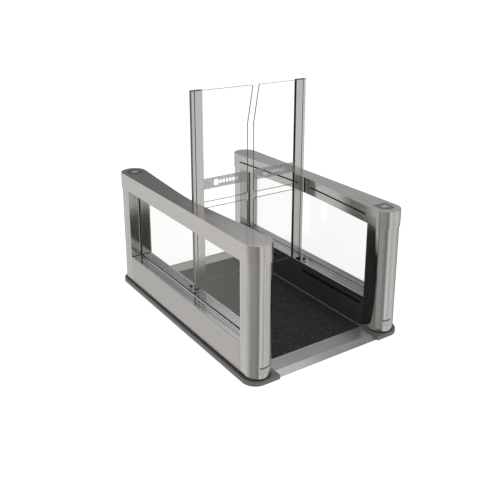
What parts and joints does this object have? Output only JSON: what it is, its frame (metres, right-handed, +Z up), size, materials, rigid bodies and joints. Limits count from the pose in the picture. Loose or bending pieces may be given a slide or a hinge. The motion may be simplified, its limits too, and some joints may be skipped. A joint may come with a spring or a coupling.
{
  "type": "speed gate turnstile",
  "caption": "Speed gate for counting visitors: low glazed cabinets flank a matted walkway closed by swinging glass leaves on steel posts.",
  "frame": {"origin": "on the floor, midway between the cabinets and midway along the walkway", "axes": "+X across the walkway towards the right-hand cabinet, +Y along the walkway in the walking direction, +Z up"},
  "size_m": [1.38, 2.074, 1.8205],
  "materials": {
    "satin_steel": "vertically brushed satin stainless",
    "cover_steel": "lengthwise brushed satin stainless",
    "panel_steel": "lengthwise brushed satin stainless",
    "sill_steel": "bright satin stainless",
    "ramp_steel": "brushed stainless, worn by feet",
    "leaf_steel": "vertically brushed satin stainless",
    "foot_steel": "turned and polished stainless",
    "shaft_steel": "ground steel",
    "rail_aluminium": "mill finish extrusion",
    "floor_trim": "natural anodised edge",
    "plinth_paint": "dark grey moulded plinth",
    "black_panel": "gloss black infrared-clear sheet",
    "sensor_black": "black sensor window",
    "reader_black": null,
    "cap_black": "moulded cap",
    "leaf_core_dark": "dark core bar seen in the joint between profiles",
    "gasket_rubber": "black glazing rubber",
    "mat_rubber": "black rubber with pale granules",
    "leaf_glass": "clear toughened glass with a frosted safety band",
    "window_glass": "clear toughened glass",
    "drive_casting": "cast housing",
    "drive_paint": "painted motor",
    "electronics_case": "moulded case"
  },
  "bodies": {
    "gate_frame": {"floor_base_plate": "floor_trim", "floor_mat": "mat_rubber", "ramp_entry": "ramp_steel", "ramp_exit": "ramp_steel", "left_plinth": "plinth_paint", "left_column_entry": "satin_steel", "left_column_exit": "satin_steel", "left_top_cover": "cover_steel", "left_top_rail": "rail_aluminium", "left_sill": "sill_steel", "left_outer_panel": "panel_steel", "left_walkway_panel": "black_panel", "left_window_glass": "window_glass", "left_glazing_channel": "rail_aluminium", "left_sensor_strip_entry": "sensor_black", "left_sensor_strip_exit": "sensor_black", "left_low_sensor_strip": "sensor_black", "left_reader_window": "reader_black", "left_reader_module": "electronics_case", "left_pivot_foot": "foot_steel", "left_bearing_collar": "foot_steel", "left_gearbox": "drive_casting", "left_motor": "drive_paint", "right_plinth": "plinth_paint", "right_column_entry": "satin_steel", "right_column_exit": "satin_steel", "right_top_cover": "cover_steel", "right_top_rail": "rail_aluminium", "right_sill": "sill_steel", "right_outer_panel": "panel_steel", "right_walkway_panel": "black_panel", "right_window_glass": "window_glass", "right_glazing_channel": "rail_aluminium", "right_sensor_strip_entry": "sensor_black", "right_sensor_strip_exit": "sensor_black", "right_low_sensor_strip": "sensor_black", "right_reader_window": "reader_black", "right_reader_module": "electronics_case", "right_pivot_foot": "foot_steel", "right_bearing_collar": "foot_steel", "right_gearbox": "drive_casting", "right_motor": "drive_paint", "left_controller": "electronics_case", "right_power_supply": "electronics_case"},
    "left_leaf": {"left_leaf_clamp_profile": "leaf_steel", "left_leaf_hinge_profile": "leaf_steel", "left_leaf_core": "leaf_core_dark", "left_leaf_glass_gasket": "gasket_rubber", "left_leaf_upper_glass": "leaf_glass", "left_leaf_lower_glass": "leaf_glass", "left_leaf_end_cap": "cap_black", "left_leaf_shaft": "shaft_steel"},
    "right_leaf": {"right_leaf_clamp_profile": "leaf_steel", "right_leaf_hinge_profile": "leaf_steel", "right_leaf_core": "leaf_core_dark", "right_leaf_glass_gasket": "gasket_rubber", "right_leaf_upper_glass": "leaf_glass", "right_leaf_lower_glass": "leaf_glass", "right_leaf_end_cap": "cap_black", "right_leaf_shaft": "shaft_steel"}
  },
  "joints": [
    {"name": "left_leaf_swing", "type": "hinge", "parent": "gate_frame", "child": "left_leaf", "pos_m": [-0.498, 0, 0.3], "axis": [0, 0, 1], "range_deg": [-87, 87]},
    {"name": "right_leaf_swing", "type": "hinge", "parent": "gate_frame", "child": "right_leaf", "pos_m": [0.498, 0, 0.3], "axis": [0, 0, 1], "range_deg": [-87, 87]}
  ],
  "couplings": [
    {"joint": "right_leaf_swing", "follows": "left_leaf_swing", "ratio": -1}
  ]
}
